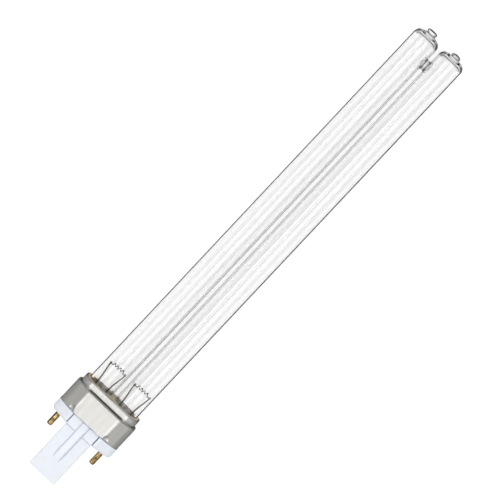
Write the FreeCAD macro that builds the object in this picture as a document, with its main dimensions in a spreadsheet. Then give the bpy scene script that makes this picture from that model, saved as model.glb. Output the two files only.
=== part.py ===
import FreeCAD, Part
import math
import os
import re

import Sketcher

# Twin-tube germicidal lamp on a two-pin cap, drawn upright and laid on its back at the end.
# Upright, x runs along the line of the pins, -y is the front and z is the height above the cap's seat.
# Left and right are as seen from the front.

SIZES = {
    # Glass envelope: two legs, the bridge between them and their sealed ends
    "leg_radius": 5.85,
    "leg_gap": 1.6,
    "glass_wall": 1.0,
    "leg_end": 211.5,
    "end_glass": 1.1,
    "end_round": 2.8,
    "leg_foot": 15.0,
    "foot_round": 2.8,
    "bridge_drop": 9.9,
    "bridge_radius": 2.05,
    "bridge_flare": 0.8,
    "bridge_round": 1.2,
    "bridge_bore": 1.35,
    "tip_round": 0.25,
    "tip_skirt_rise": 0.1,
    "tip_skirt_draft": 0.2,
    "left_tip_height": 2.1,
    "left_tip_skirt": 1.1,
    "left_tip_waist": 1.8,
    "left_tip_neck": 0.75,
    "left_tip_radius": 2.3,
    "left_tip_shoulder": 1.25,
    "left_tip_crown": 2.1,
    "left_tip_crown_round": 0.4,
    "right_tip_height": 1.75,
    "right_tip_skirt": 1.2,
    "right_tip_waist": 1.7,
    "right_tip_neck": 0.4,
    "right_tip_radius": 2.25,
    "right_tip_shoulder": 1.0,
    "right_tip_crown": 1.1,
    "right_tip_crown_round": 0.7,
    "pinch_width": 10.2,
    "pinch_thickness": 3.2,
    "pinch_round": 1.2,
    "pinch_bottom": 8.3,
    # Electrode mounts
    "wire_radius": 0.3,
    "seal_fit": 0.02,
    "left_lead_spread": 5.55,
    "right_lead_spread": 5.95,
    "left_mount_shift": 0.4,
    "right_mount_shift": 0.17,
    "bow_rise": 4.8,
    "bow_end_drop": 1.4,
    "bow_outer": 1.1,
    "bow_inner": 1.05,
    "bow_foot_round": 24.0,
    "bow_top_round": 10.0,
    "clamp_width": 0.7,
    "clamp_depth": 1.0,
    "clamp_height": 1.3,
    "coil_height": 29.1,
    "coil_radius": 0.6,
    "coil_wire": 0.18,
    "coil_leg": 0.18,
    "coil_pitch": 1.4,
    "coil_turns": 4,
    "coil_overhang": 0.15,
    # Aluminium shell
    "cap_side_margin": 2.7,
    "cap_face_margin": 3.15,
    "cap_slant_run": 7.2,
    "cap_slant_angle": 30.0,
    "cap_flat_round": 3.5,
    "cap_end_round": 4.5,
    "sheet_thickness": 0.4,
    "shoulder_height": 15.8,
    "shoulder_round": 0.9,
    "rim_inset": 0.2,
    "rim_trim": 0.9,
    "groove_height": 0.65,
    "rim_height": 2.55,
    "rim_round": 0.5,
    "rim_underside_round": 0.28,
    "groove_depth": 0.35,
    "edge_round": 0.25,
    "crimp_offset": 0.9,
    "crimp_radius": 4.3,
    "crimp_rise": 0.6,
    "crimp_dent_radius": 6.5,
    "crimp_dent_depth": 0.25,
    # Basing cement
    "cement_fit": 0.02,
    "cement_proud": 0.1,
    # Plastic base: flange with its collar, and the post
    "flange_height": 4.9,
    "flange_overhang": 0.16,
    "flange_floor": 1.6,
    "flange_round": 1.4,
    "collar_fit": 0.1,
    "collar_wall": 1.1,
    "collar_top": 10.3,
    "post_half_width": 6.65,
    "post_half_depth": 8.7,
    "post_length": 21.9,
    "post_round": 0.8,
    "post_end_round": 0.6,
    "cavity_half_width": 5.35,
    "cavity_half_depth": 6.0,
    "cavity_round": 1.5,
    "post_floor": 1.5,
    "cheek_drop": 0.25,
    "neck_relief": 0.5,
    "slot_width": 0.45,
    "slot_depth": 1.4,
    "channel_half_width": 1.95,
    "channel_depth": 1.5,
    "channel_drop": 10.1,
    "ramp_drop": 14.1,
    "ramp_half_width": 1.6,
    "ramp_round": 0.6,
    "ramp_root": 0.3,
    # Contact pins
    "pin_margin": 3.7,
    "pin_radius": 1.175,
    "pin_length": 6.8,
    "pin_round": 0.55,
    "pin_root_radius": 1.35,
    "pin_head_radius": 1.7,
    "pin_head_height": 0.5,
    "pin_bore": 0.75,
    "pin_tip": 0.9,
    "lead_end_gap": 0.3,
    "lead_bend_drop": 1.6,
    "pin_fit": 0.02,
    "pin_crimp_drop": 4.1,
    "pin_crimp_length": 1.9,
    "pin_crimp_radius": 1.3,
    "pin_crimp_depth": 0.22,
    # Glow starter and its wiring inside the post
    "bottle_radius": 3.6,
    "bottle_wall": 0.7,
    "bottle_round": 1.7,
    "bottle_drop": 4.6,
    "bottle_lift": 0.3,
    "bottle_seal_width": 5.4,
    "bottle_seal_thickness": 2.0,
    "bottle_seal_round": 0.8,
    "bottle_seal_drop": 1.8,
    "starter_lead_spread": 2.6,
    "starter_bend_drop": 0.6,
    "fixed_electrode_drop": 12.0,
    "bimetal_drop": 8.6,
    "bimetal_weld": 0.9,
    "bimetal_bottom": 15.6,
    "bimetal_thickness": 0.25,
    "bimetal_width": 1.6,
    "bimetal_reach": 2.2,
    "bimetal_tongue": 4.1,
    "bimetal_round": 1.05,
    "ferrule_bottom": 2.0,
    "ferrule_length": 2.6,
    "ferrule_radius": 0.75,
    "ferrule_fit": 0.02,
    "wire_gap": 0.1,
    "sleeve_wall": 0.3,
    "sleeve_fit": 0.05,
    "sleeve_gap": 0.2,
    "capacitor_width": 9.4,
    "capacitor_thickness": 2.0,
    "capacitor_height": 6.5,
    "capacitor_drop": 6.0,
    "capacitor_round": 0.8,
    "capacitor_gap": 0.15,
    "capacitor_wire": 0.2,
    "capacitor_bend": 0.8,
    "wire_bend": 1.0,
}

doc = FreeCAD.newDocument("germicidal_lamp")
sheet = doc.addObject("Spreadsheet::Sheet", "sizes")
for row, (alias, size) in enumerate(SIZES.items(), start=1):
    sheet.set(f"A{row}", alias.replace("_", " "))
    sheet.set(f"B{row}", str(size))
    sheet.setAlias(f"B{row}", alias)
doc.recompute()

# Half the side of an octagon as a share of its inner radius.
HALF_SIDE = math.tan(math.pi / 8)
SIDES = {"left": "-1", "right": "1"}
FACES = {"front": "-1", "back": "1"}


# Expressions: each size named in one is read from its cell
def bound(text):
    return re.sub(r"[a-z]\w*", lambda word: f"sizes.{word[0]}" if word[0] in SIZES else word[0], text)


def number(text):
    return float(sheet.evalExpression(bound(text)))


# Sketches
def new_body(label):
    body = doc.addObject("PartDesign::Body", label)
    body.Label = label
    return body


def new_sketch(body, name, plane, shift=("0", "0", "0")):
    sketch = body.newObject("Sketcher::SketchObject", name)
    support = next(part for part in body.Origin.OriginFeatures if part.Role == plane)
    sketch.AttachmentSupport = [(support, "")]
    sketch.MapMode = "FlatFace"
    for axis, text in zip("xyz", shift):
        sketch.setExpression(f".AttachmentOffset.Base.{axis}", bound(text))
    return sketch


def constrain(sketch, kind, where, text):
    index = sketch.addConstraint(Sketcher.Constraint(kind, *where, number(text)))
    sketch.setExpression(f"Constraints[{index}]", bound(text))


def place_point(sketch, geometry, position, x, y):
    for kind, axis, text in (("DistanceX", -2, x), ("DistanceY", -1, y)):
        if text == "0":
            sketch.addConstraint(Sketcher.Constraint("PointOnObject", geometry, position, axis))
        else:
            constrain(sketch, kind, (geometry, position), text)


def draw_circle(sketch, x, y, radius):
    centre = FreeCAD.Vector(number(x), number(y), 0)
    circle = sketch.addGeometry(Part.Circle(centre, FreeCAD.Vector(0, 0, 1), number(radius)))
    place_point(sketch, circle, 3, x, y)
    constrain(sketch, "Radius", (circle,), radius)


def rounding(before, corner, after, radius):
    """Give where a rounded corner's arc starts, ends and has its centre, and which way it turns."""
    along = (corner - before).normalize()
    onward = (after - corner).normalize()
    turn = math.copysign(1, along.cross(onward).z)
    reach = radius * math.tan(along.getAngle(onward) / 2)
    entry = corner - along * reach
    centre = entry + FreeCAD.Vector(-along.y, along.x, 0) * turn * radius
    return entry, corner + onward * reach, centre, turn


def draw_runs(sketch, corners, closed=True):
    """Draw straight runs from corner to corner, each (x, y) or (x, y, radius of its rounding)."""
    points = [FreeCAD.Vector(number(corner[0]), number(corner[1]), 0) for corner in corners]
    count = len(points)
    starts = list(points)
    ends = list(points)
    arcs = {}
    for index, corner in enumerate(corners):
        if len(corner) == 3:
            before = points[index - 1]
            after = points[(index + 1) % count]
            entry, leave, centre, turn = rounding(before, points[index], after, number(corner[2]))
            ends[index] = entry
            starts[index] = leave
            arcs[index] = (centre, turn)
    runs = []
    for index in range(count if closed else count - 1):
        line = Part.LineSegment(starts[index], ends[(index + 1) % count])
        runs.append(sketch.addGeometry(line))
    for index, corner in enumerate(corners):
        inward = runs[index - 1]
        if index in arcs:
            outward = runs[index]
            centre, turn = arcs[index]
            first, last = (ends[index], starts[index]) if turn > 0 else (starts[index], ends[index])
            circle = Part.Circle(centre, FreeCAD.Vector(0, 0, 1), (first - centre).Length)
            angles = [math.atan2(point.y - centre.y, point.x - centre.x) for point in (first, last)]
            arc = sketch.addGeometry(Part.ArcOfCircle(circle, *angles))
            mark = sketch.addGeometry(Part.Point(points[index]), True)
            place_point(sketch, mark, 1, corner[0], corner[1])
            joins = (1, 2) if turn > 0 else (2, 1)
            sketch.addConstraint([
                Sketcher.Constraint("Tangent", inward, 2, arc, joins[0]),
                Sketcher.Constraint("Tangent", arc, joins[1], outward, 1),
                Sketcher.Constraint("PointOnObject", mark, 1, inward),
                Sketcher.Constraint("PointOnObject", mark, 1, outward),
            ])
            constrain(sketch, "Radius", (arc,), corner[2])
        elif not closed and index == count - 1:
            place_point(sketch, inward, 2, corner[0], corner[1])
        else:
            if closed or index > 0:
                sketch.addConstraint(Sketcher.Constraint("Coincident", inward, 2, runs[index], 1))
            place_point(sketch, runs[index], 1, corner[0], corner[1])


# Features
def finish_feature(body, feature):
    body.Tip = feature
    doc.recompute()
    return feature


def extrude(body, kind, name, sketch, length, both_ways=False, reverse=False):
    feature = body.newObject(f"PartDesign::{kind}", name)
    feature.Profile = sketch
    feature.SideType = "Symmetric" if both_ways else "One side"
    feature.Reversed = reverse
    feature.setExpression("Length", bound(length))
    return finish_feature(body, feature)


def turn_round(body, kind, name, sketch, axis="V_Axis"):
    feature = body.newObject(f"PartDesign::{kind}", name)
    feature.Profile = sketch
    feature.ReferenceAxis = (sketch, [axis])
    feature.Angle = 360
    return finish_feature(body, feature)


def run_along(body, name, profile, path):
    feature = body.newObject("PartDesign::AdditivePipe", name)
    feature.Profile = profile
    feature.Spine = (path, [f"Edge{index + 1}" for index in range(len(path.Shape.Edges))])
    return finish_feature(body, feature)


def round_edges(body, name, base, edges, radius):
    feature = body.newObject("PartDesign::Fillet", name)
    feature.Base = (base, edges)
    feature.setExpression("Radius", bound(radius))
    return finish_feature(body, feature)


def border_edges(feature, height):
    """Name the edges round the outside of the level faces at one height."""
    level = number(height)
    border = []
    for face in feature.Shape.Faces:
        box = face.BoundBox
        if max(abs(box.ZMin - level), abs(box.ZMax - level)) < 1e-4:
            border += face.OuterWire.Edges
    edges = enumerate(feature.Shape.Edges, start=1)
    return [f"Edge{index}" for index, edge in edges if any(edge.isSame(side) for side in border)]


# Places that more than one piece shares: the legs stand side by side, and the cap goes round them.
LEG_X = "(leg_radius + leg_gap / 2)"
CAP_HALF_WIDTH = "(2 * leg_radius + leg_gap / 2 + cap_side_margin)"
CAP_HALF_DEPTH = "(leg_radius + cap_face_margin)"
CAP_CORNER = f"({CAP_HALF_WIDTH} - cap_slant_run)"
PIN_X = f"({CAP_HALF_WIDTH} - pin_margin)"

# How the cap's corners move along its flats and its ends when its outline moves inward.
SLOPE = "tan(cap_slant_angle * 1deg)"
FLAT_MITRE = "tan(cap_slant_angle * 0.5deg)"
END_MITRE = "tan((90 - cap_slant_angle) * 0.5deg)"


# Outlines that more than one piece shares
def cap_outline(inset, flat_trim="0", end_trim="0"):
    """Eight-sided outline of the cap, moved inward, with its flats or its ends trimmed further."""
    flat_x = f"({CAP_CORNER} - ({inset}) * {FLAT_MITRE} + ({flat_trim}) / {SLOPE})"
    flat_y = f"({CAP_HALF_DEPTH} - ({inset}) - ({flat_trim}))"
    end_x = f"({CAP_HALF_WIDTH} - ({inset}) - ({end_trim}))"
    end_y = f"({CAP_HALF_DEPTH} - (cap_slant_run - ({end_trim})) * {SLOPE} - ({inset}) * {END_MITRE})"
    flat_round = f"cap_flat_round - ({inset})"
    end_round = f"cap_end_round - ({inset})"
    quarter = [(flat_x, flat_y, flat_round), (end_x, end_y, end_round)]
    corners = []
    for sign_x, sign_y, order in (("", "-", 1), ("", "", -1), ("-", "", 1), ("-", "-", -1)):
        for x, y, radius in quarter[::order]:
            corners.append((sign_x + x, sign_y + y, radius))
    return corners


def rim_outline(inset):
    """The cap's outline where the rim draws in round the legs."""
    return cap_outline(f"rim_inset + {inset}", "rim_trim", "rim_trim")


def leg_outline(growth="0", bottom="leg_foot", top="leg_end", upper_round="end_round"):
    """Half section of a closed leg beside its axis, grown by a clearance or shrunk by a wall."""
    radius = f"leg_radius + {growth}"
    return [
        ("0", f"{bottom} - {growth}"),
        (radius, f"{bottom} - {growth}", f"foot_round + {growth}"),
        (radius, top, f"{upper_round} + {growth}"),
        ("0", top),
    ]


def ball_outline(radius):
    """Half section of a rounded tool that presses a dent, with a short straight run at its widest."""
    nose = f"0.96 * {radius}"
    return [("0", f"-{radius}"), (radius, f"-{radius}", nose), (radius, radius, nose), ("0", radius)]


def rectangle(half_x, half_y, radius, x="0", y="0"):
    signs = ((-1, -1), (1, -1), (1, 1), (-1, 1))
    return [(f"{x} + {sx} * ({half_x})", f"{y} + {sy} * ({half_y})", radius) for sx, sy in signs]


def leg_axis(side):
    return f"{SIDES[side]} * {LEG_X}"


def lead_place(side, which):
    """Where a lead passes through the seal, along x."""
    away = SIDES[side] if which == "outer" else f"-1 * {SIDES[side]}"
    return f"{leg_axis(side)} + {side}_mount_shift + {away} * {side}_lead_spread / 2"


def clamp_place(side, which):
    """Where a lead holds the coil, along x: the leads bow away from each other."""
    away = SIDES[side] if which == "outer" else f"-1 * {SIDES[side]}"
    return f"{lead_place(side, which)} + {away} * bow_{which}"


# The pinch runs up into the leg's round foot.
PINCH_TOP = "(leg_foot + foot_round / 2)"

# The rim stands above the shoulder's groove.
RIM_BOTTOM = "(shoulder_height + groove_height)"
RIM_TOP = "(shoulder_height + groove_height + rim_height)"

# Cuts that leave a solid run on past it by this much.
OVERCUT = "1"


def tip_outline(side):
    """Half section of a sealed exhaust tip, from inside the flat end of its leg."""
    skirt = f"{side}_tip_waist + {side}_tip_skirt"
    top = f"leg_end + {side}_tip_height"
    return [
        ("0", "leg_end - end_glass / 2"),
        (f"{skirt} + tip_skirt_draft", "leg_end - end_glass / 2"),
        (skirt, "leg_end + tip_skirt_rise"),
        (f"{side}_tip_waist", f"leg_end + {side}_tip_neck", "tip_round"),
        (f"{side}_tip_radius", f"leg_end + {side}_tip_shoulder", "tip_round"),
        (f"{side}_tip_crown", top, f"{side}_tip_crown_round"),
        ("0", top),
    ]


# Glass envelope: one blown and welded piece
def make_envelope():
    body = new_body("glass_envelope")
    for side in SIDES:
        sketch = new_sketch(body, f"{side}_leg_section", "XZ_Plane", (leg_axis(side), "0", "0"))
        draw_runs(sketch, leg_outline())
        turn_round(body, "Revolution", f"{side}_leg", sketch)
        sketch = new_sketch(body, f"{side}_tip_section", "XZ_Plane", (leg_axis(side), "0", "0"))
        draw_runs(sketch, tip_outline(side))
        turn_round(body, "Revolution", f"{side}_tip", sketch)
        sketch = new_sketch(body, f"{side}_pinch_section", "XY_Plane", ("0", "0", "pinch_bottom"))
        draw_runs(sketch, rectangle("pinch_width / 2", "pinch_thickness / 2", "pinch_round", leg_axis(side)))
        extrude(body, "Pad", f"{side}_pinch", sketch, f"{PINCH_TOP} - pinch_bottom")
    waist = "(leg_gap + glass_wall) / 2"
    sketch = new_sketch(body, "bridge_section", "XZ_Plane", ("0", "leg_end - bridge_drop", "0"))
    draw_runs(sketch, [
        (f"-({waist})", "0"),
        (waist, "0"),
        (waist, "bridge_radius + bridge_flare"),
        ("0", "bridge_radius", "bridge_round"),
        (f"-({waist})", "bridge_radius + bridge_flare"),
    ])
    turn_round(body, "Revolution", "bridge", sketch, "H_Axis")
    for side in SIDES:
        sketch = new_sketch(body, f"{side}_bore_section", "XZ_Plane", (leg_axis(side), "0", "0"))
        draw_runs(sketch, leg_outline("(0 - glass_wall)", top="leg_end - end_glass"))
        turn_round(body, "Groove", f"{side}_bore", sketch)
    sketch = new_sketch(body, "bridge_bore_section", "YZ_Plane")
    draw_circle(sketch, "0", "leg_end - bridge_drop", "bridge_bore")
    extrude(body, "Pocket", "bridge_bore", sketch, f"2 * {LEG_X}", both_ways=True)
    sketch = new_sketch(body, "seal_section", "XY_Plane", ("0", "0", f"pinch_bottom - {OVERCUT}"))
    for side in SIDES:
        for which in ("outer", "inner"):
            draw_circle(sketch, lead_place(side, which), "0", "wire_radius + seal_fit")
    extrude(body, "Pocket", "seals", sketch, f"leg_foot + foot_round + {OVERCUT} - pinch_bottom",
            reverse=True)
    return body


# Lead wires and coils of the electrodes
def make_wire(label, plane, corners, radius, shift=("0", "0", "0")):
    """A bent wire; its first run is upright and its corners are in the plane's own x and z."""
    body = new_body(label)
    path = new_sketch(body, f"{label}_path", plane, shift)
    draw_runs(path, corners, closed=False)
    doc.recompute()
    across = {"XZ_Plane": (corners[0][0], "0"), "YZ_Plane": (shift[2], corners[0][0])}[plane]
    profile = new_sketch(body, f"{label}_profile", "XY_Plane", ("0", "0", corners[0][1]))
    draw_circle(profile, *across, radius)
    run_along(body, f"{label}_run", profile, path)
    return body


def make_lead(side, which):
    place = lead_place(side, which)
    top = clamp_place(side, which)
    coil_line = "coil_height - coil_radius"
    if which == "outer":
        pin = f"{SIDES[side]} * {PIN_X}"
        foot = [
            (pin, "pin_tip + lead_end_gap - pin_length"),
            (pin, "flange_floor + pin_head_height + 2 * wire_bend", "wire_bend"),
            (place, "pinch_bottom - lead_bend_drop", "wire_bend"),
        ]
    else:
        foot = [(place, "ferrule_bottom + ferrule_length / 2 + wire_gap / 2")]
    bow = [
        (place, f"{PINCH_TOP} + bow_rise", "bow_foot_round"),
        (top, "coil_height - bow_end_drop", "bow_top_round"),
        (top, f"{coil_line} + clamp_height / 4"),
    ]
    body = make_wire(f"{which}_lead_{side}", "XZ_Plane", foot + bow, "wire_radius")
    sketch = new_sketch(body, "clamp_section", "XY_Plane", ("0", "0", f"{coil_line} - clamp_height / 2"))
    draw_runs(sketch, rectangle("clamp_width / 2", "clamp_depth / 2", "clamp_width / 4", top))
    extrude(body, "Pad", "clamp", sketch, "clamp_height")
    sketch = new_sketch(body, "clamp_hole_section", "YZ_Plane", ("0", "0", top))
    draw_circle(sketch, "0", coil_line, "coil_leg + seal_fit")
    extrude(body, "Pocket", "clamp_hole", sketch, "2 * clamp_width", both_ways=True)
    return body


def make_coil(side):
    """Tungsten coil: turns in the middle and a straight leg to each clamp."""
    body = new_body(f"electrode_coil_{side}")
    ends = sorted((clamp_place(side, "outer"), clamp_place(side, "inner")), key=number)
    middle = f"(({ends[0]}) + ({ends[1]})) / 2"
    half = "coil_pitch * coil_turns / 2"
    sketch = new_sketch(body, "turn_section", "XZ_Plane", (f"{middle} - {half}", "coil_height", "0"))
    flat = f"coil_wire * {HALF_SIDE}"
    octant = [("coil_wire", flat), (flat, "coil_wire")]
    draw_runs(sketch, [(f"{sx} * {x}", f"{sy} * {y} - coil_radius") for sx, sy, order in
                       ((1, 1, 1), (-1, 1, -1), (-1, -1, 1), (1, -1, -1)) for x, y in octant[::order]])
    feature = body.newObject("PartDesign::AdditiveHelix", "turns")
    feature.Profile = sketch
    feature.ReferenceAxis = (sketch, ["H_Axis"])
    feature.Mode = "pitch-turns-angle"
    feature.setExpression("Pitch", bound("coil_pitch"))
    feature.setExpression("Turns", bound("coil_turns"))
    finish_feature(body, feature)
    reach = f"(({ends[1]}) - ({ends[0]})) / 2 + clamp_width / 2 + coil_overhang - {half} + coil_wire / 2"
    for name, sign in (("near_leg", "-1"), ("far_leg", "1")):
        start = f"{middle} + {sign} * ({half} - coil_wire / 2)"
        sketch = new_sketch(body, f"{name}_section", "YZ_Plane", ("0", "0", start))
        draw_circle(sketch, "0", "coil_height - coil_radius", "coil_leg")
        extrude(body, "Pad", name, sketch, reach, reverse=sign == "-1")
    return body


# Where the shell is crimped onto the collar, on each slanted side near its flat
CRIMP_X = f"({CAP_CORNER} + crimp_offset)"
CRIMP_Y = f"({CAP_HALF_DEPTH} - crimp_offset * {SLOPE})"


# Cap shell: drawn aluminium, open at both ends
def make_shell():
    body = new_body("cap_shell")
    inside = "shoulder_height - sheet_thickness"
    sketch = new_sketch(body, "wall_outline", "XY_Plane", ("0", "0", "flange_height"))
    draw_runs(sketch, cap_outline("0"))
    wall = extrude(body, "Pad", "wall", sketch, "shoulder_height - flange_height")
    shoulder = round_edges(body, "shoulder", wall, border_edges(wall, "shoulder_height"), "shoulder_round")
    round_edges(body, "lower_edge", shoulder, border_edges(shoulder, "flange_height"), "edge_round")
    sketch = new_sketch(body, "neck_outline", "XY_Plane", ("0", "0", inside))
    draw_runs(sketch, rim_outline("groove_depth"))
    extrude(body, "Pad", "neck", sketch, f"{RIM_TOP} - ({inside})")
    sketch = new_sketch(body, "rim_outline", "XY_Plane", ("0", "0", RIM_BOTTOM))
    draw_runs(sketch, rim_outline("0"))
    rim = extrude(body, "Pad", "rim", sketch, "rim_height")
    bead = round_edges(body, "rim_bead", rim, border_edges(rim, RIM_TOP), "rim_round")
    round_edges(body, "rim_underside", bead, border_edges(bead, RIM_BOTTOM), "rim_underside_round")
    sketch = new_sketch(body, "inner_outline", "XY_Plane", ("0", "0", "flange_height"))
    draw_runs(sketch, cap_outline("sheet_thickness"))
    hollow = extrude(body, "Pocket", "hollow", sketch, f"{inside} - flange_height", reverse=True)
    roof = border_edges(hollow, inside)
    round_edges(body, "inner_shoulder", hollow, roof, "shoulder_round - sheet_thickness")
    sketch = new_sketch(body, "mouth_outline", "XY_Plane", ("0", "0", "flange_height"))
    draw_runs(sketch, rim_outline("groove_depth + sheet_thickness"))
    extrude(body, "Pocket", "mouth", sketch, RIM_TOP, reverse=True)
    sketch = new_sketch(body, "crimp_section", "XZ_Plane")
    for side in SIDES.values():
        centre = f"{side} * {CRIMP_X}"
        draw_circle(sketch, centre, "flange_height + crimp_rise - crimp_radius", "crimp_radius")
    extrude(body, "Pocket", "crimps", sketch, f"4 * {CAP_HALF_DEPTH}", both_ways=True)
    reach = "(crimp_dent_radius - crimp_dent_depth)"
    for face, facing in FACES.items():
        for side, sign in SIDES.items():
            name = f"{face}_{side}_dent"
            across = f"{sign} * ({CRIMP_X} + {reach} * sin(cap_slant_angle * 1deg))"
            outward = f"-1 * {facing} * ({CRIMP_Y} + {reach} * cos(cap_slant_angle * 1deg))"
            sketch = new_sketch(body, f"{name}_section", "XZ_Plane",
                                (across, "flange_height + crimp_rise", outward))
            draw_runs(sketch, ball_outline("crimp_dent_radius"))
            turn_round(body, "Groove", name, sketch)
    return body


# Basing cement: fills the shell round both legs
def make_cement():
    body = new_body("basing_cement")
    ceiling = "shoulder_height - sheet_thickness - cement_fit"
    sketch = new_sketch(body, "lower_outline", "XY_Plane", ("0", "0", "collar_top"))
    draw_runs(sketch, cap_outline("sheet_thickness + cement_fit"))
    lower = extrude(body, "Pad", "lower", sketch, f"{ceiling} - collar_top")
    shoulder = body.newObject("PartDesign::Chamfer", "shoulder")
    shoulder.Base = (lower, border_edges(lower, ceiling))
    shoulder.setExpression("Size", bound("shoulder_round - sheet_thickness"))
    finish_feature(body, shoulder)
    sketch = new_sketch(body, "upper_outline", "XY_Plane", ("0", "0", ceiling))
    draw_runs(sketch, rim_outline("groove_depth + sheet_thickness + cement_fit"))
    extrude(body, "Pad", "upper", sketch, f"{RIM_TOP} + cement_proud - ({ceiling})")
    for side in SIDES:
        sketch = new_sketch(body, f"{side}_leg_seat_section", "XZ_Plane", (leg_axis(side), "0", "0"))
        draw_runs(sketch, leg_outline("cement_fit", top=f"{RIM_TOP} + 2 * end_round"))
        turn_round(body, "Groove", f"{side}_leg_seat", sketch)
        sketch = new_sketch(body, f"{side}_pinch_seat_section", "XY_Plane", ("0", "0", PINCH_TOP))
        half_width = "pinch_width / 2 + cement_fit"
        half_depth = "pinch_thickness / 2 + cement_fit"
        draw_runs(sketch, rectangle(half_width, half_depth, "pinch_round + cement_fit", leg_axis(side)))
        extrude(body, "Pocket", f"{side}_pinch_seat", sketch, PINCH_TOP)
    return body


# Plastic base: flange, collar and hollow post moulded as one
def make_base():
    body = new_body("base_body")
    sketch = new_sketch(body, "flange_outline", "XY_Plane")
    draw_runs(sketch, cap_outline("(0 - flange_overhang)"))
    flange = extrude(body, "Pad", "flange", sketch, "flange_height")
    round_edges(body, "flange_edge", flange, border_edges(flange, "0"), "flange_round")
    sketch = new_sketch(body, "collar_outline", "XY_Plane", ("0", "0", "flange_height"))
    draw_runs(sketch, cap_outline("sheet_thickness + collar_fit"))
    extrude(body, "Pad", "collar", sketch, "collar_top - flange_height")
    sketch = new_sketch(body, "post_outline", "XY_Plane", ("0", "0", "0 - post_length"))
    draw_runs(sketch, rectangle("post_half_width", "post_half_depth", "post_round"))
    post = extrude(body, "Pad", "post", sketch, "post_length + flange_height")
    round_edges(body, "post_end", post, border_edges(post, "0 - post_length"), "post_end_round")
    for face in FACES:
        cut_face(body, face)
    cavity_inset = "sheet_thickness + collar_fit + collar_wall"
    sketch = new_sketch(body, "upper_cavity_outline", "XY_Plane", ("0", "0", "flange_floor"))
    draw_runs(sketch, cap_outline(cavity_inset, f"{CAP_HALF_DEPTH} - ({cavity_inset}) - cavity_half_depth"))
    extrude(body, "Pocket", "upper_cavity", sketch, "collar_top", reverse=True)
    sketch = new_sketch(body, "post_cavity_outline", "XY_Plane", ("0", "0", "post_floor - post_length"))
    draw_runs(sketch, rectangle("cavity_half_width", "cavity_half_depth", "cavity_round"))
    extrude(body, "Pocket", "post_cavity", sketch, "post_length - post_floor + flange_height", reverse=True)
    sketch = new_sketch(body, "pin_hole_section", "XY_Plane")
    for side in SIDES.values():
        draw_circle(sketch, f"{side} * {PIN_X}", "0", "pin_root_radius + pin_fit")
    extrude(body, "Pocket", "pin_holes", sketch, "flange_height", reverse=True)
    return body


def cut_face(body, face):
    """Cut one broad face of the base: the set-back neck, its two slots and the latch channel."""
    back = face == "back"
    outward = f"(0 - {FACES[face]})"
    front_plane = f"{outward} * ({CAP_HALF_DEPTH} + flange_overhang)"
    neck_surface = "post_half_depth - neck_relief"
    sketch = new_sketch(body, f"{face}_neck_outline", "XZ_Plane", ("0", "0", front_plane))
    middle = "(flange_height - cheek_drop) / 2"
    half_height = "(flange_height + cheek_drop) / 2"
    draw_runs(sketch, [corner[:2] for corner in rectangle("post_half_width + slot_width", half_height, "0",
                                                          y=middle)])
    extrude(body, "Pocket", f"{face}_neck", sketch,
            f"{CAP_HALF_DEPTH} + flange_overhang - ({neck_surface})", reverse=back)
    for side, sign in SIDES.items():
        sketch = new_sketch(body, f"{face}_{side}_slot_outline", "XZ_Plane", ("0", "0", front_plane))
        place = f"{sign} * (post_half_width + slot_width / 2)"
        slot = rectangle("slot_width / 2", half_height, "0", place, middle)
        draw_runs(sketch, [corner[:2] for corner in slot])
        extrude(body, "Pocket", f"{face}_{side}_slot", sketch,
                f"{CAP_HALF_DEPTH} + flange_overhang - post_half_depth + slot_depth", reverse=back)
    post_plane = f"{outward} * post_half_depth"
    sketch = new_sketch(body, f"{face}_channel_outline", "XZ_Plane", ("0", "0", post_plane))
    draw_runs(sketch, [
        ("channel_half_width", "flange_height"),
        ("-channel_half_width", "flange_height"),
        ("-channel_half_width", "-channel_drop"),
        ("-ramp_half_width", "-ramp_drop", "ramp_round"),
        ("ramp_half_width", "-ramp_drop", "ramp_round"),
        ("channel_half_width", "-channel_drop"),
    ])
    extrude(body, "Pocket", f"{face}_channel", sketch, "channel_depth", reverse=back)
    floor = f"{FACES[face]} * (post_half_depth - channel_depth)"
    buried = f"{FACES[face]} * (post_half_depth - channel_depth - ramp_root)"
    sketch = new_sketch(body, f"{face}_ramp_section", "YZ_Plane")
    draw_runs(sketch, [
        (floor, "-channel_drop"),
        (f"{FACES[face]} * post_half_depth", "-ramp_drop"),
        (buried, "-ramp_drop"),
        (buried, "-channel_drop"),
    ])
    extrude(body, "Pad", f"{face}_ramp", sketch, "2 * (channel_half_width + ramp_root)", both_ways=True)


# Brass contact pin: a headed tube with a thicker root in the flange, crimped onto its lead
def make_pin(side):
    body = new_body(f"contact_pin_{side}")
    place = f"{SIDES[side]} * {PIN_X}"
    head_top = "flange_floor + pin_head_height"
    hold = "pin_crimp_length / 2 - pin_crimp_drop"
    wire_bore = "wire_radius + seal_fit"
    sketch = new_sketch(body, "pin_section", "XZ_Plane", (place, "0", "0"))
    draw_runs(sketch, [
        ("0", "-pin_length"),
        ("pin_radius", "-pin_length", "pin_round"),
        ("pin_radius", "0"),
        ("pin_root_radius", "0"),
        ("pin_root_radius", "flange_floor"),
        ("pin_head_radius", "flange_floor"),
        ("pin_head_radius", head_top),
        ("pin_bore", head_top),
        ("pin_bore", hold),
        (wire_bore, hold),
        (wire_bore, "pin_tip - pin_length"),
        ("0", "pin_tip - pin_length"),
    ])
    turn_round(body, "Revolution", "pin", sketch)
    sketch = new_sketch(body, "crimp_section", "YZ_Plane", ("0", "0", place))
    for sign in FACES.values():
        away = f"{sign} * (pin_radius + pin_crimp_radius - pin_crimp_depth)"
        draw_circle(sketch, away, "-pin_crimp_drop", "pin_crimp_radius")
    extrude(body, "Pocket", "crimp", sketch, "4 * pin_radius", both_ways=True)
    return body


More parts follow.
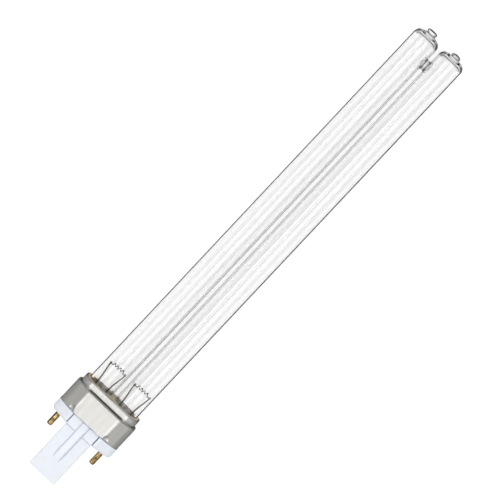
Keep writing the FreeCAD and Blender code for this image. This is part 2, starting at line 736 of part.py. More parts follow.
# Glow starter: sealed bottle, fixed electrode and bimetal strip
def make_bottle():
    body = new_body("starter_bottle")
    bottom = "post_floor + bottle_lift - post_length"
    seal = "-bottle_drop - bottle_wall / 2"
    for kind, name, inset in (("Revolution", "bottle", "0"), ("Groove", "bottle_inside", "bottle_wall")):
        if kind == "Groove":
            sketch = new_sketch(body, "seal_outline", "XY_Plane", ("0", "0", seal))
            draw_runs(sketch, rectangle("bottle_seal_width / 2", "bottle_seal_thickness / 2",
                                        "bottle_seal_round"))
            extrude(body, "Pad", "seal", sketch, f"-bottle_seal_drop - ({seal})")
        sketch = new_sketch(body, f"{name}_section", "XZ_Plane")
        draw_runs(sketch, [
            ("0", f"{bottom} + {inset}"),
            (f"bottle_radius - {inset}", f"{bottom} + {inset}", f"bottle_round - {inset}"),
            (f"bottle_radius - {inset}", f"-bottle_drop - {inset}", f"bottle_round - {inset}"),
            ("0", f"-bottle_drop - {inset}"),
        ])
        turn_round(body, kind, name, sketch)
    sketch = new_sketch(body, "lead_hole_section", "XY_Plane", ("0", "0", "0 - bottle_drop - bottle_round"))
    for sign in SIDES.values():
        draw_circle(sketch, f"{sign} * starter_lead_spread / 2", "0", "wire_radius + seal_fit")
    extrude(body, "Pocket", "lead_holes", sketch, "bottle_drop + bottle_round", reverse=True)
    return body


def starter_wire(label, side, foot):
    place = f"{SIDES[side]} * starter_lead_spread / 2"
    joint = lead_place(side, "inner")
    return make_wire(label, "XZ_Plane", [
        (place, foot),
        (place, "-starter_bend_drop", "wire_bend"),
        (joint, "ferrule_bottom - wire_bend", "wire_bend"),
        (joint, "ferrule_bottom + ferrule_length / 2 - wire_gap / 2"),
    ], "wire_radius")


def make_fixed_electrode():
    return starter_wire("starter_fixed_electrode", "right", "-fixed_electrode_drop")


def make_bimetal():
    body = starter_wire("starter_bimetal", "left", "-bimetal_drop - bimetal_weld")
    outer = "(-starter_lead_spread / 2 - wire_radius - bimetal_thickness / 2)"
    free = f"({outer} + bimetal_reach)"
    thin = "bimetal_thickness"
    sketch = new_sketch(body, "strip_section", "XZ_Plane")
    draw_runs(sketch, [
        (outer, "-bimetal_drop"),
        (outer, "-bimetal_bottom", "bimetal_round"),
        (free, "-bimetal_bottom", "bimetal_round"),
        (free, "bimetal_tongue - bimetal_bottom"),
        (f"{free} - {thin}", "bimetal_tongue - bimetal_bottom"),
        (f"{free} - {thin}", f"{thin} - bimetal_bottom", f"bimetal_round - {thin}"),
        (f"{outer} + {thin}", f"{thin} - bimetal_bottom", f"bimetal_round - {thin}"),
        (f"{outer} + {thin}", "-bimetal_drop"),
    ])
    extrude(body, "Pad", "strip", sketch, "bimetal_width", both_ways=True)
    return body


# Capacitor beside the starter, and the joints that tie both to the inner leads
CAPACITOR_DEPTH = "(capacitor_thickness / 2 + capacitor_gap - cavity_half_depth)"


def make_capacitor():
    body = new_body("capacitor")
    bottom = "0 - capacitor_drop - capacitor_height"
    sketch = new_sketch(body, "capacitor_outline", "XY_Plane", ("0", "0", bottom))
    draw_runs(sketch, rectangle("capacitor_width / 2", "capacitor_thickness / 2", "capacitor_round",
                                y=CAPACITOR_DEPTH))
    extrude(body, "Pad", "case", sketch, "capacitor_height")
    return body


def make_capacitor_lead(side):
    joint_height = "ferrule_bottom + ferrule_length / 2"
    return make_wire(f"capacitor_lead_{side}", "YZ_Plane", [
        (CAPACITOR_DEPTH, "-capacitor_drop"),
        (CAPACITOR_DEPTH, joint_height, "capacitor_bend"),
        ("-ferrule_radius - ferrule_fit", joint_height),
    ], "capacitor_wire", ("0", "0", lead_place(side, "inner")))


def make_tube(label, place, bottom, length, bore, radius):
    body = new_body(label)
    sketch = new_sketch(body, "tube_section", "XY_Plane", ("0", "0", bottom))
    draw_circle(sketch, place, "0", radius)
    draw_circle(sketch, place, "0", bore)
    extrude(body, "Pad", "tube", sketch, length)
    return body


def make_ferrule(side):
    return make_tube(f"lead_ferrule_{side}", lead_place(side, "inner"), "ferrule_bottom", "ferrule_length",
                     "wire_radius + ferrule_fit", "ferrule_radius")


def make_sleeve(side):
    bottom = "ferrule_bottom + ferrule_length + sleeve_gap"
    bore = "wire_radius + sleeve_fit"
    return make_tube(f"lead_sleeve_{side}", lead_place(side, "inner"), bottom,
                     f"pinch_bottom - sleeve_gap - ({bottom})", bore, f"{bore} + sleeve_wall")


# Rest: the lamp lies on the back of the shell's shoulder and on the ends of both legs
def resting_placement():
    shoulder_y = number(f"{CAP_HALF_DEPTH} - shoulder_round")
    shoulder_z = number("shoulder_height - shoulder_round")
    fall = shoulder_y - number("leg_radius - end_round")
    run = number("leg_end - end_round") - shoulder_z
    tilt = math.atan2(fall, run) - math.asin(number("end_round - shoulder_round") / math.hypot(fall, run))
    across = math.sin(tilt)
    along = math.cos(tilt)
    floor = shoulder_y * along + shoulder_z * across + number("shoulder_round")
    post_y = number("post_half_depth - post_end_round")
    post_z = number("post_end_round - post_length")
    lowest = post_z * along - post_y * across - number("post_end_round")
    tip_z = number("leg_end + left_tip_height - left_tip_crown_round")
    tip_y = number("left_tip_crown - left_tip_crown_round")
    highest = tip_z * along + tip_y * across + number("left_tip_crown_round")
    middle = (lowest + highest) / 2
    return FreeCAD.Placement(FreeCAD.Matrix(
        0, -across, along, -middle,
        -1, 0, 0, 0,
        0, -along, -across, floor,
        0, 0, 0, 1))


pieces = [make_envelope(), make_shell(), make_cement(), make_base(), make_bottle(), make_fixed_electrode(),
          make_bimetal(), make_capacitor()]
for side in SIDES:
    pieces += [make_lead(side, "outer"), make_lead(side, "inner"), make_coil(side), make_pin(side),
               make_ferrule(side), make_sleeve(side), make_capacitor_lead(side)]
rest = resting_placement()
for piece in pieces:
    piece.Placement = rest
doc.recompute()

for item in doc.Objects:
    if "Invalid" in item.State or "Error" in item.State:
        raise RuntimeError(f"{item.Label} failed: {item.State}")
for piece in pieces:
    if piece.Shape.isNull() or not piece.Shape.isValid():
        raise RuntimeError(f"{piece.Label} has no valid shape")
os.makedirs("parts", exist_ok=True)
for piece in pieces:
    piece.Shape.exportStep(f"parts/{piece.Label}.step")
    print(piece.Label, round(piece.Shape.Volume, 2), "cubic mm", len(piece.Shape.Solids), "solid")
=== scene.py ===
import math

import bpy
from bpy.props import FloatProperty, FloatVectorProperty, PointerProperty
from mathutils import Matrix, Vector

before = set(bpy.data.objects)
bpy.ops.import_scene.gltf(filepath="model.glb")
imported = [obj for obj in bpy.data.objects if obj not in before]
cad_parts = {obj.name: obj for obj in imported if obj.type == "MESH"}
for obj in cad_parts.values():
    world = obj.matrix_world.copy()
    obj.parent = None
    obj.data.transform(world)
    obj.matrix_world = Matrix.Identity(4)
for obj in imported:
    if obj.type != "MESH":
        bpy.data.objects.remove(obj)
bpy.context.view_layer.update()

bl_info = {
    "name": "Twin-tube germicidal lamp",
    "version": (1, 0, 0),
    "blender": (4, 5, 0),
    "location": "3D View > Sidebar > Germicidal lamp",
    "description": "Finishes the lamp's glass, metal, cement and plastic, and lights it on a pale floor",
    "category": "Object",
}

MM = 0.001
SIDES = ("left", "right")

# How the lamp lies: its tilt, its seat behind the origin and its axis above the floor
TILT = math.radians(0.9311)
SEAT = 95.92 * MM
AXIS = 7.683 * MM

# The legs' axes off the lamp's middle
LEG_SHIFT = 6.65 * MM

# Each pair of values below is what a ramp runs between.
# From a leg's axis: the outer skin of the glass, and the cement that touches it, where the cement is painted
# lighter
LEG_SKIN = (5.3 * MM, 5.4 * MM)
CEMENT_SKIN = (5.9 * MM, 6.0 * MM)

# Off the lamp's middle: a leg's outer half, its outer side, and its side to the other leg
OUTER_HALF = (LEG_SHIFT - 2 * MM, LEG_SHIFT + 2 * MM)
OUTER_SIDE = (LEG_SHIFT + 3.4 * MM, LEG_SHIFT + 4.9 * MM)
INNER_SIDE = (LEG_SHIFT - 4.2 * MM, LEG_SHIFT - 3 * MM)

# Above the seat: the domed ends and their bend, the level glass under the tips, and the shell's groove
DOME = (208.2 * MM, 208.8 * MM)
DOME_BEND = (208.2 * MM, 209.8 * MM)
LEVEL_START = (210.9 * MM, 211.3 * MM)
LEVEL_STOP = (211.7 * MM, 212.1 * MM)
GROOVE_START = (15.8 * MM, 15.85 * MM)
GROOVE_STOP = (16.25 * MM, 16.4 * MM)

# The bridge: its height above the seat, and how far up and down, and sideways, its weld reaches
BRIDGE = 201.6 * MM
WELD_HEIGHT = (2.8 * MM, 3.6 * MM)
WELD_WIDTH = (1.4 * MM, 2.4 * MM)

# How far the glass turns from the eye, from 0 to 1, where its painted dark line, the line's faint border and
# the line beside the other leg set in, and how much the bend of the domes adds to it
LINE = (0.52, 0.72)
BORDER = (0.24, 0.36)
INNER_LINE = (0.3, 0.6)
DOME_TURN = 0.2

# What share of these painted lines is drawn: in the border, from the outer half to the outer side, from the
# side to the other leg to the rest, and what the level glass has less
BORDER_SHARE = 0.22
OUTER_SHARE = (0.2, 1.0)
INNER_SHARE = (0.42, 0.1)
LEVEL_LOSS = 0.6

# Off the lamp's middle: where the groove's painted shade thins out, and where the cement's stain draws in
GROOVE_SHADE_WIDTH = (8 * MM, 9.5 * MM)
STAIN_WIDTH = (2 * MM, 10 * MM)

# The values of the noise between which a finish goes from its pale to its dark colour
MIDDLE = (0.35, 0.65)

# The camera: its lean off the front, its turn about its own view, its aim, and its sensor's width in mm
CAMERA_LEAN = math.radians(9.0)
CAMERA_TURN = math.radians(46.787)
CAMERA_AIM = Vector((4.022, 0.464, 7.624)) * MM
SENSOR = 36

# Softboxes: degrees to the right and to the legs' ends, metres wide, long and away, radiance, missed rays
SOFTBOXES = {
    "left_strip": (-30, 0, 0.3, 1.6, 1.6, 3.4, ()),
    "right_strip": (14, 0, 0.25, 1.6, 1.6, 2.6, ()),
    "right_card": (35, 0, 0.5, 1.6, 1.6, 1.7, ()),
    "post_fill": (0, -40, 1.6, 1.6, 2.0, 1.5, ("glossy", "transmission")),
    "end_fill": (0, 62, 1.0, 1.0, 1.5, 2.6, ("glossy",)),
}

# The air, by how high it is, from -1 straight below to 1 straight above: where its brightness changes
HORIZON_BAND = (0.05, 0.4)
ZENITH_BAND = (0.5, 0.97)
DEPTH_BAND = (-0.75, -0.5)

# The floor's sheet: half its side in metres and its rows of tiles
FLOOR_HALF = 4.0
FLOOR_ROWS = 8


# Sizes and colours
def linear(code):
    """Turn an sRGB hex colour into the linear colour that shaders work in."""
    parts = [int(code[start:start + 2], 16) / 255 for start in (1, 3, 5)]
    return tuple(part / 12.92 if part <= 0.04045 else ((part + 0.055) / 1.055) ** 2.4 for part in parts)


def length(name, description, default):
    return FloatProperty(name=name, description=description, default=default, min=0, unit="LENGTH",
                         precision=5)


def colour(name, description, code):
    return FloatVectorProperty(name=name, description=description, default=linear(code), subtype="COLOR",
                               min=0, max=1, size=3)


def share(name, description, default):
    return FloatProperty(name=name, description=description, default=default, min=0, max=1, subtype="FACTOR")


def brightness(name, description, default):
    return FloatProperty(name=name, description=description, default=default, min=0)


class GlassLook(bpy.types.PropertyGroup):
    tint: colour("Tint", "Faint tint of the clear quartz glass", "#FEFEFE")
    # Painted shade: the dark colour laid on the glass at its edges, in place of the dark surroundings that
    # its edges refract
    edge: colour("Edge", "What is left of the light along the wall at a rounded edge", "#2E2E2E")
    weld: share("Weld", "Roughness of the rippled weld at the bridge", 0.35)
    draw_line: length("Draw lines", "Distance between the faint lines left by drawing the tube", 1.2 * MM)


class ShellLook(bpy.types.PropertyGroup):
    pale: colour("Metal", "Bright aluminium", "#EDECE8")
    dull: colour("Dull metal", "Aluminium where it is handled", "#E4E3DE")
    # Painted shade: the dark colour of the groove's line and of the shell's corners and crimps
    painted_shade: colour("Grime", "Dark oxide and grease in the groove", "#2E2A24")
    roughness: share("Roughness", "Satin left by the drawing press", 0.42)


class BaseLook(bpy.types.PropertyGroup):
    pale: colour("Plastic", "White moulded plastic", "#ECF1F8")
    shade: colour("Shade", "Its slightly darker flow marks", "#E9EDF5")
    # Painted shade: the grey laid in the corners and slots
    corner_shade_colour: colour("Corners", "Grey dust in the corners and slots", "#8E9AB2")
    roughness: share("Roughness", "Semi-gloss left by the mould", 0.35)


class CementLook(bpy.types.PropertyGroup):
    pale: colour("Paste", "Set cement", "#D6CDBA")
    sand: colour("Sand", "Darker sand in it", "#AC9E80")
    # Partly painted light: the paste inside the legs is paler, and made paler still in place of the light
    # the glass carries down to it
    skin: colour("Skin", "Fine paste that the glass presses smooth", "#FFFDF4")
    stain: colour("Stain", "Brown where the heat of the electrode reached it", "#B99A62")
    grain: length("Grain", "Size of the sand", 0.35 * MM)


class StageLook(bpy.types.PropertyGroup):
    glow: brightness("Floor glow", "Brightness of the light table itself", 0.76)
    zenith: brightness("Zenith", "Brightness of the air straight above", 0.52)
    middle: brightness("Middle", "Brightness of the air halfway up", 0.12)
    horizon: brightness("Horizon", "Brightness of the air at the horizon", 0.35)
    depth: brightness("Depth", "How much of that is left straight below", 0.05)
    reach: length("Camera reach", "Distance from the camera to the lamp", 4.0)
    picture: length("Picture width", "Width of what the camera frames", 0.19818)


# Nodes and finishes
def add_node(tree, kind, feeds=(), **settings):
    """Add a node, set it up, and feed its inputs with values or with other nodes' outputs."""
    node = tree.nodes.new(f"ShaderNode{kind}")
    for name, value in settings.items():
        setattr(node, name, value)
    for name, value in dict(feeds).items():
        if isinstance(value, bpy.types.NodeSocket):
            tree.links.new(value, node.inputs[name])
        else:
            node.inputs[name].default_value = value
    return node


def new_finish(name, **uniform):
    """Start a material. Its place is how far up from the lamp's seat, to its left and to its front."""
    material = bpy.data.materials.new(name)
    material.use_nodes = True
    tree = material.node_tree
    tree.nodes.clear()
    sockets = {socket.replace("_", " "): value for socket, value in uniform.items()}
    shader = add_node(tree, "BsdfPrincipled", sockets)
    add_node(tree, "OutputMaterial", {"Surface": shader.outputs["BSDF"]})
    place = add_node(tree, "Mapping", {"Vector": add_node(tree, "TexCoord").outputs["Object"],
                                       "Rotation": (0, -TILT, 0), "Location": (SEAT, 0, -AXIS)})
    return material, tree, shader, place.outputs["Vector"]


def ramp(tree, value, start, end, low=0.0, high=1.0, curve="SMOOTHSTEP"):
    """Turn a value between start and end into one between low and high, and keep it flat outside them."""
    return add_node(tree, "MapRange", {"Value": value, "From Min": start, "From Max": end, "To Min": low,
                                       "To Max": high}, interpolation_type=curve).outputs["Result"]


def combine(tree, operation, first, second):
    return add_node(tree, "Math", {0: first, 1: second}, operation=operation).outputs["Value"]


def absolute(tree, value):
    return add_node(tree, "Math", {0: value}, operation="ABSOLUTE").outputs["Value"]


def leg_place(tree, place):
    """The height above the seat, the distance off the lamp's middle, and that from the nearer leg's axis."""
    folded = add_node(tree, "VectorMath", {0: place}, operation="ABSOLUTE").outputs["Vector"]
    from_leg = add_node(tree, "VectorMath", {0: folded, 1: (0, 1, 1), 2: (0, -LEG_SHIFT, 0)},
                        operation="MULTIPLY_ADD").outputs["Vector"]
    radius = add_node(tree, "VectorMath", {0: from_leg}, operation="LENGTH").outputs["Value"]
    split = add_node(tree, "SeparateXYZ", {"Vector": folded})
    return split.outputs["X"], split.outputs["Y"], radius


def lay_over(tree, shader, amount, code):
    """Lay another colour over the finish where the amount is above 0."""
    base = shader.inputs["Base Color"]
    under = base.links[0].from_socket if base.links else tuple(base.default_value)
    mix = add_node(tree, "Mix", {"Factor": amount, "A": under, "B": (*code, 1)}, data_type="RGBA")
    tree.links.new(mix.outputs[2], base)


def grain_noise(tree, place, grain, detail):
    """Noise with grains of a real size, in metres along x, y and z."""
    spread = add_node(tree, "Mapping", {"Vector": place, "Scale": [1 / size for size in grain]})
    return add_node(tree, "TexNoise", {"Vector": spread.outputs["Vector"], "Scale": 1.0, "Detail": detail,
                                       "Roughness": 0.6}).outputs["Fac"]


def wear_finish(tree, shader, place, pale, dark, grain, roughness, relief=0.0, detail=4.0):
    """Vary a finish's colour, roughness and height with grains of a real size."""
    amount = grain_noise(tree, place, grain, detail)
    mix = add_node(tree, "Mix", {"Factor": ramp(tree, amount, *MIDDLE, curve="LINEAR"), "A": (*pale, 1),
                                 "B": (*dark, 1)}, data_type="RGBA")
    tree.links.new(mix.outputs[2], shader.inputs["Base Color"])
    tree.links.new(ramp(tree, amount, *MIDDLE, *roughness, curve="LINEAR"), shader.inputs["Roughness"])
    if relief:
        bump = add_node(tree, "Bump", {"Height": amount, "Distance": relief, "Strength": 1.0})
        tree.links.new(bump.outputs["Normal"], shader.inputs["Normal"])


def painted_corner_shade(tree, reach, air, most):
    """The share of painted shade in the corners, from the share of open air that a spot sees within a reach.
    """
    seen = add_node(tree, "AmbientOcclusion", {"Distance": reach}, samples=8).outputs["AO"]
    return ramp(tree, seen, *air, most, 0.0)


def painted_dark_edges(tree, along, sideways, radius):
    """The share of painted shade laid on the glass's colour where the eye looks along its wall instead of
    through it, in place of the dark surroundings that its edges refract.

    It is strongest on the outer sides and the domed ends of the legs, weaker beside the gap between them and
    weak on the rest, so that a leg seen along its length stays clear. The bore has none below the domes.
    """
    dome = ramp(tree, along, *DOME)
    skin = combine(tree, "MAXIMUM", ramp(tree, radius, *LEG_SKIN), dome)
    level = combine(tree, "MULTIPLY", ramp(tree, along, *LEVEL_START),
                    ramp(tree, along, *LEVEL_STOP, LEVEL_LOSS, 0.0))
    outward = combine(tree, "MULTIPLY", ramp(tree, sideways, *OUTER_HALF),
                      ramp(tree, sideways, *OUTER_SIDE, *OUTER_SHARE))
    outward = combine(tree, "SUBTRACT", combine(tree, "MAXIMUM", outward, dome), level)
    inward = combine(tree, "MULTIPLY", ramp(tree, sideways, *INNER_SIDE, *INNER_SHARE),
                     combine(tree, "SUBTRACT", 1.0, dome))
    facing = add_node(tree, "LayerWeight", {"Blend": 0.5}).outputs["Facing"]
    bent = combine(tree, "ADD", facing, ramp(tree, along, *DOME_BEND, 0.0, DOME_TURN))
    line = combine(tree, "MAXIMUM", ramp(tree, bent, *LINE), ramp(tree, bent, *BORDER, 0.0, BORDER_SHARE))
    sides = combine(tree, "ADD", combine(tree, "MULTIPLY", line, outward),
                    combine(tree, "MULTIPLY", ramp(tree, bent, *INNER_LINE), inward))
    return combine(tree, "MULTIPLY", sides, skin)


def quartz_glass(look):
    """Drawn, fire-polished quartz glass: clear, with faint long lines that blur its highlights a little.

    The torch leaves the weld of the bridge slightly rippled, which blurs what shows through it.
    """
    material, tree, shader, place = new_finish("drawn_quartz_glass", Base_Color=(*look.tint, 1), IOR=1.458,
                                               Transmission_Weight=1.0)
    long = 60 * look.draw_line
    lines = grain_noise(tree, place, (long, look.draw_line, look.draw_line), 0.0)
    smooth = ramp(tree, lines, *MIDDLE, 0.0, 0.004, curve="LINEAR")
    along, sideways, radius = leg_place(tree, place)
    from_bridge = absolute(tree, combine(tree, "SUBTRACT", along, BRIDGE))
    weld = combine(tree, "MULTIPLY", ramp(tree, from_bridge, *WELD_HEIGHT, 1.0, 0.0),
                   ramp(tree, sideways, *WELD_WIDTH, 1.0, 0.0))
    rippled = combine(tree, "MULTIPLY", weld, look.weld)
    tree.links.new(combine(tree, "MAXIMUM", smooth, rippled), shader.inputs["Roughness"])
    # Painted shade: dark lines laid on the glass's colour at its edges, left out at the weld
    edge = combine(tree, "MULTIPLY", painted_dark_edges(tree, along, sideways, radius),
                   combine(tree, "SUBTRACT", 1.0, weld))
    lay_over(tree, shader, edge, look.edge)
    return material


def drawn_aluminium(look):
    """Pressed aluminium sheet: satin with upright draw lines that spread its shine, with a painted dark line
    of shade in the groove and painted shade in its corners.
    """
    material, tree, shader, place = new_finish("drawn_aluminium", Metallic=1.0, Anisotropic=0.4)
    wear_finish(tree, shader, place, look.pale, look.dull, (9 * MM, 1.5 * MM, 1.5 * MM),
                (look.roughness - 0.01, look.roughness + 0.015))
    around = add_node(tree, "Tangent", direction_type="RADIAL", axis="X").outputs["Tangent"]
    tree.links.new(around, shader.inputs["Tangent"])
    split = add_node(tree, "SeparateXYZ", {"Vector": place})
    # Painted shade: a dark band in the groove, in place of its dark reflection and shadow, fainter on the
    # slanted sides
    groove = combine(tree, "MULTIPLY", ramp(tree, split.outputs["X"], *GROOVE_START),
                     ramp(tree, split.outputs["X"], *GROOVE_STOP, 1.0, 0.0))
    sideways = absolute(tree, split.outputs["Y"])
    groove = combine(tree, "MULTIPLY", groove, ramp(tree, sideways, *GROOVE_SHADE_WIDTH, 1.0, 0.45))
    lay_over(tree, shader, groove, look.painted_shade)
    # Painted shade in the shell's corners and crimps
    lay_over(tree, shader, painted_corner_shade(tree, 1.2 * MM, (0.3, 0.75), 0.5), look.painted_shade)
    return material


def white_polyester(look):
    """Injection-moulded polyester: cool white and semi-gloss, with faint flow marks and painted shade in its
    corners and slots.
    """
    material, tree, shader, place = new_finish("moulded_white_polyester", IOR=1.53)
    wear_finish(tree, shader, place, look.pale, look.shade, (4 * MM, 4 * MM, 4 * MM),
                (look.roughness, look.roughness + 0.06), 0.001 * MM, 2.0)
    # Painted shade in the corners and slots
    lay_over(tree, shader, painted_corner_shade(tree, 0.9 * MM, (0.35, 0.85), 1.0), look.corner_shade_colour)
    return material


def set_cement(look):
    """Cast basing cement: matt sandy paste, pale where the glass touches it and painted paler still there,
    in place of the light that the glass carries down to it, and stained brown at left.
    """
    material, tree, shader, place = new_finish("set_basing_cement", IOR=1.5, Specular_IOR_Level=0.3)
    wear_finish(tree, shader, place, look.pale, look.sand, (look.grain,) * 3, (0.85, 0.95), 0.06 * MM, 6.0)
    radius = leg_place(tree, place)[2]
    # Partly painted light: paler paste inside the legs, standing in for the light the glass carries down to
    # it
    lay_over(tree, shader, ramp(tree, radius, *CEMENT_SKIN, 1.0, 0.0), look.skin)
    leftward = add_node(tree, "SeparateXYZ", {"Vector": place}).outputs["Y"]
    lay_over(tree, shader, ramp(tree, leftward, *STAIN_WIDTH, 0.0, 0.6), look.stain)
    return material


def simple_finish(name, pale, dark, grain, roughness, relief, **uniform):
    """A finish from two sRGB colours, its grain and relief in millimetres, and its range of roughness."""
    material, tree, shader, place = new_finish(name, **uniform)
    wear_finish(tree, shader, place, linear(pale), linear(dark), [size * MM for size in grain], roughness,
                relief * MM)
    return material


def dress(material, *nodes):
    for name in nodes:
        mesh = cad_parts[name].data
        mesh.materials.clear()
        mesh.materials.append(material)


# Operators
class LAMP_OT_glass(bpy.types.Operator):
    """Finish the glass envelope"""
    bl_idname = "lamp.glass"
    bl_label = "Finish the glass"

    def execute(self, context):
        dress(quartz_glass(context.scene.lamp_glass), "glass_envelope")
        return {"FINISHED"}


class LAMP_OT_shell(bpy.types.Operator):
    """Finish the aluminium shell of the cap"""
    bl_idname = "lamp.shell"
    bl_label = "Finish the shell"

    def execute(self, context):
        dress(drawn_aluminium(context.scene.lamp_shell), "cap_shell")
        return {"FINISHED"}


class LAMP_OT_cement(bpy.types.Operator):
    """Finish the cement that holds the legs"""
    bl_idname = "lamp.cement"
    bl_label = "Finish the cement"

    def execute(self, context):
        dress(set_cement(context.scene.lamp_cement), "basing_cement")
        return {"FINISHED"}


class LAMP_OT_base(bpy.types.Operator):
    """Finish the white plastic base"""
    bl_idname = "lamp.base"
    bl_label = "Finish the base"

    def execute(self, context):
        dress(white_polyester(context.scene.lamp_base), "base_body")
        return {"FINISHED"}


class LAMP_OT_pins(bpy.types.Operator):
    """Finish the brass contact pins and the ferrules"""
    bl_idname = "lamp.pins"
    bl_label = "Finish the pins"

    def execute(self, context):
        # Drawn and crimped brass: warm yellow with patches of thin brown tarnish, and dark at its rims.
        brass = simple_finish("drawn_brass", "#E0C68C", "#85663A", (2.0, 0.5, 0.5), (0.15, 0.25), 0.004,
                              Metallic=1.0, Specular_Tint=(0.08, 0.06, 0.03, 1))
        dress(brass, *[f"{name}_{side}" for name in ("contact_pin", "lead_ferrule") for side in SIDES])
        return {"FINISHED"}


class LAMP_OT_electrodes(bpy.types.Operator):
    """Finish the lead wires and the coils"""
    bl_idname = "lamp.electrodes"
    bl_label = "Finish the electrodes"

    def execute(self, context):
        # Drawn nickel-iron wire, browned by the heat of sealing.
        wire = simple_finish("heat_browned_nickel_wire", "#8C8272", "#4F4840", (0.8, 0.3, 0.3), (0.3, 0.45),
                             0.006, Metallic=1.0)
        # Coiled tungsten under a thin, greyed coat of emitter: dull, with bare metal where it wore off.
        coil = simple_finish("coated_tungsten", "#8A857D", "#4E4A44", (0.2, 0.2, 0.2), (0.45, 0.8), 0.02,
                             Metallic=0.4)
        for side in SIDES:
            dress(wire, f"outer_lead_{side}", f"inner_lead_{side}", f"capacitor_lead_{side}")
            dress(coil, f"electrode_coil_{side}")
        return {"FINISHED"}


class LAMP_OT_starter(bpy.types.Operator):
    """Finish the glow starter, the capacitor and the sleeves"""
    bl_idname = "lamp.starter"
    bl_label = "Finish the starter"

    def execute(self, context):
        # Blown soda glass: clear, with a slightly wavy skin.
        dress(simple_finish("blown_soda_glass", "#F7FAF9", "#EFF4F2", (2.0, 2.0, 2.0), (0.0, 0.04), 0.01,
                            IOR=1.52, Transmission_Weight=1.0), "starter_bottle")
        # Bare drawn nickel wire: pale grey and half bright.
        dress(simple_finish("bare_nickel_wire", "#C8C2B6", "#A39B8D", (1.0, 0.2, 0.2), (0.2, 0.35), 0.004,
                            Metallic=1.0), "starter_fixed_electrode")
        # Rolled bimetal strip: grey with fine lines from the rolls.
        dress(simple_finish("rolled_bimetal", "#BDB6AA", "#94897A", (3.0, 0.15, 3.0), (0.25, 0.4), 0.004,
                            Metallic=1.0), "starter_bimetal")
        # Dipped resin: glossy orange-brown with a soft, uneven skin.
        dress(simple_finish("dipped_resin", "#B85A22", "#9C4819", (1.5, 1.5, 1.5), (0.18, 0.3), 0.03,
                            IOR=1.55, Coat_Weight=0.4), "capacitor")
        # Woven glass-fibre sleeve: matt off-white, with its weave drawn as fine grains.
        woven = simple_finish("woven_glass_sleeve", "#E4E1D6", "#C6C1B2", (0.25, 0.25, 0.25), (0.7, 0.9),
                              0.05)
        dress(woven, *[f"lead_sleeve_{side}" for side in SIDES])
        return {"FINISHED"}


class LAMP_OT_stage(bpy.types.Operator):
    """Set the floor, the studio light and the camera"""
    bl_idname = "lamp.stage"
    bl_label = "Set the stage"

    def execute(self, context):
        look = context.scene.lamp_stage
        lay_floor(look)
        hang_air(look)
        hang_softboxes()
        aim_camera(look)
        context.scene.view_settings.view_transform = "Standard"
        return {"FINISHED"}


# Stage
def lay_floor(look):
    """A plain pale light table: matt opal sheet that glows, so the lamp throws hardly a shadow."""
    sheet = simple_finish("matt_opal_sheet", "#B0B0B0", "#AEAEAE", (40, 40, 40), (0.85, 0.95), 0.0,
                          Specular_IOR_Level=0.1, Emission_Color=(1, 1, 1, 1), Emission_Strength=look.glow)
    mesh = bpy.data.meshes.new("floor")
    step = 2 * FLOOR_HALF / FLOOR_ROWS
    wide = FLOOR_ROWS + 1
    points = [(-FLOOR_HALF + step * i, -FLOOR_HALF + step * j, 0) for j in range(wide) for i in range(wide)]
    tiles = [(j * wide + i, j * wide + i + 1, (j + 1) * wide + i + 1, (j + 1) * wide + i)
             for j in range(FLOOR_ROWS) for i in range(FLOOR_ROWS)]
    mesh.from_pydata(points, [], tiles)
    mesh.materials.append(sheet)
    floor = bpy.data.objects.new("floor", mesh)
    floor.visible_glossy = False
    bpy.context.collection.objects.link(floor)


def hang_air(look):
    """Studio air: brightest straight above, dark halfway up, and lighter again at the horizon.

    The dark belt draws the edges of glass and metal.
    """
    world = bpy.data.worlds.new("studio_air")
    bpy.context.scene.world = world
    world.use_nodes = True
    tree = world.node_tree
    tree.nodes.clear()
    way = add_node(tree, "TexCoord").outputs["Generated"]
    height = add_node(tree, "SeparateXYZ", {"Vector": way}).outputs["Z"]
    above = combine(tree, "MAXIMUM", ramp(tree, height, *HORIZON_BAND, look.horizon, look.middle),
                    ramp(tree, height, *ZENITH_BAND, look.middle, look.zenith))
    below = ramp(tree, height, *DEPTH_BAND, look.depth, 1.0)
    back = add_node(tree, "Background", {"Color": (1, 1, 1, 1),
                                         "Strength": combine(tree, "MULTIPLY", above, below)})
    add_node(tree, "OutputWorld", {"Surface": back.outputs["Background"]})


def hang_softboxes():
    """Hang the softboxes round the lamp. Those that gloss misses only fill shade on plastic and cement."""
    for name, (sideways, endways, wide, long, far, radiance, missed) in SOFTBOXES.items():
        light = bpy.data.lights.new(name, "AREA")
        light.shape = "RECTANGLE"
        light.size = long
        light.size_y = wide
        light.energy = radiance * math.pi * wide * long
        turn = math.radians(sideways)
        lean = math.radians(endways)
        holder = bpy.data.objects.new(name, light)
        away = Vector((math.sin(lean), -math.sin(turn) * math.cos(lean), math.cos(turn) * math.cos(lean)))
        across = Vector((0, math.cos(turn), math.sin(turn)))
        along = across.cross(away)
        facing = Matrix((along, across, away)).transposed().to_4x4()
        holder.matrix_world = Matrix.Translation(away * far) @ facing
        holder.visible_camera = False
        for ray in missed:
            setattr(holder, f"visible_{ray}", False)
        bpy.context.collection.objects.link(holder)


def lamp_axes():
    """The lamp's own directions as it lies: right along the pins, out of its front, and along its legs."""
    right = Vector((0, -1, 0))
    front = Vector((math.sin(TILT), 0, math.cos(TILT)))
    along = Vector((math.cos(TILT), 0, -math.sin(TILT)))
    return right, front, along


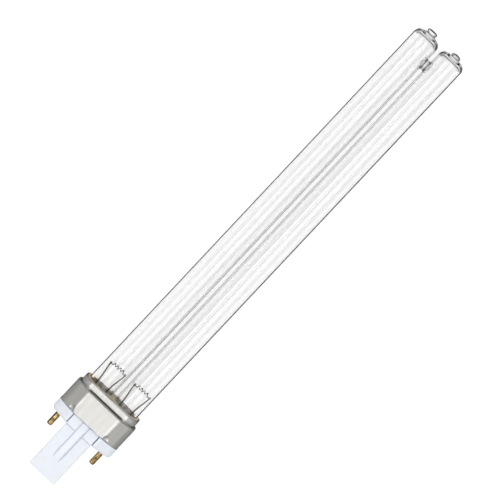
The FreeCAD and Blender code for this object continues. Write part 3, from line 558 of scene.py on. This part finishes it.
def aim_camera(look):
    """The photo's view: a lean off the front towards the legs' ends, with the lamp rising to the right."""
    right, front, along = lamp_axes()
    rise = (along * math.cos(CAMERA_LEAN) - front * math.sin(CAMERA_LEAN)).normalized()
    away = (along * math.sin(CAMERA_LEAN) + front * math.cos(CAMERA_LEAN)).normalized()
    x_axis = rise * math.cos(CAMERA_TURN) + right * math.sin(CAMERA_TURN)
    y_axis = rise * math.sin(CAMERA_TURN) - right * math.cos(CAMERA_TURN)
    camera = bpy.data.cameras.new("camera")
    camera.sensor_width = SENSOR
    camera.lens = SENSOR * look.reach / look.picture
    holder = bpy.data.objects.new("camera", camera)
    facing = Matrix((x_axis, y_axis, away)).transposed().to_4x4()
    holder.matrix_world = Matrix.Translation(CAMERA_AIM + away * look.reach) @ facing
    bpy.context.collection.objects.link(holder)
    bpy.context.scene.camera = holder


class LAMP_PT_sidebar(bpy.types.Panel):
    """Lists the lamp's steps in the sidebar"""
    bl_idname = "LAMP_PT_sidebar"
    bl_label = "Germicidal lamp"
    bl_space_type = "VIEW_3D"
    bl_region_type = "UI"
    bl_category = "Germicidal lamp"

    def draw(self, context):
        for step in STEPS:
            self.layout.operator(step.bl_idname)
        for group in LOOKS:
            for name in LOOKS[group].__annotations__:
                self.layout.prop(getattr(context.scene, group), name)


LOOKS = {"lamp_glass": GlassLook, "lamp_shell": ShellLook, "lamp_base": BaseLook, "lamp_cement": CementLook,
         "lamp_stage": StageLook}
STEPS = (LAMP_OT_glass, LAMP_OT_shell, LAMP_OT_cement, LAMP_OT_base, LAMP_OT_pins, LAMP_OT_electrodes,
         LAMP_OT_starter, LAMP_OT_stage)
CLASSES = (*LOOKS.values(), *STEPS, LAMP_PT_sidebar)


def register():
    for item in CLASSES:
        bpy.utils.register_class(item)
    for name, group in LOOKS.items():
        setattr(bpy.types.Scene, name, PointerProperty(type=group))


def unregister():
    for name in LOOKS:
        delattr(bpy.types.Scene, name)
    for item in reversed(CLASSES):
        bpy.utils.unregister_class(item)


def main():
    register()
    for step in STEPS:
        getattr(bpy.ops.lamp, step.bl_idname.split(".")[1])()


if __name__ == "__main__":
    main()
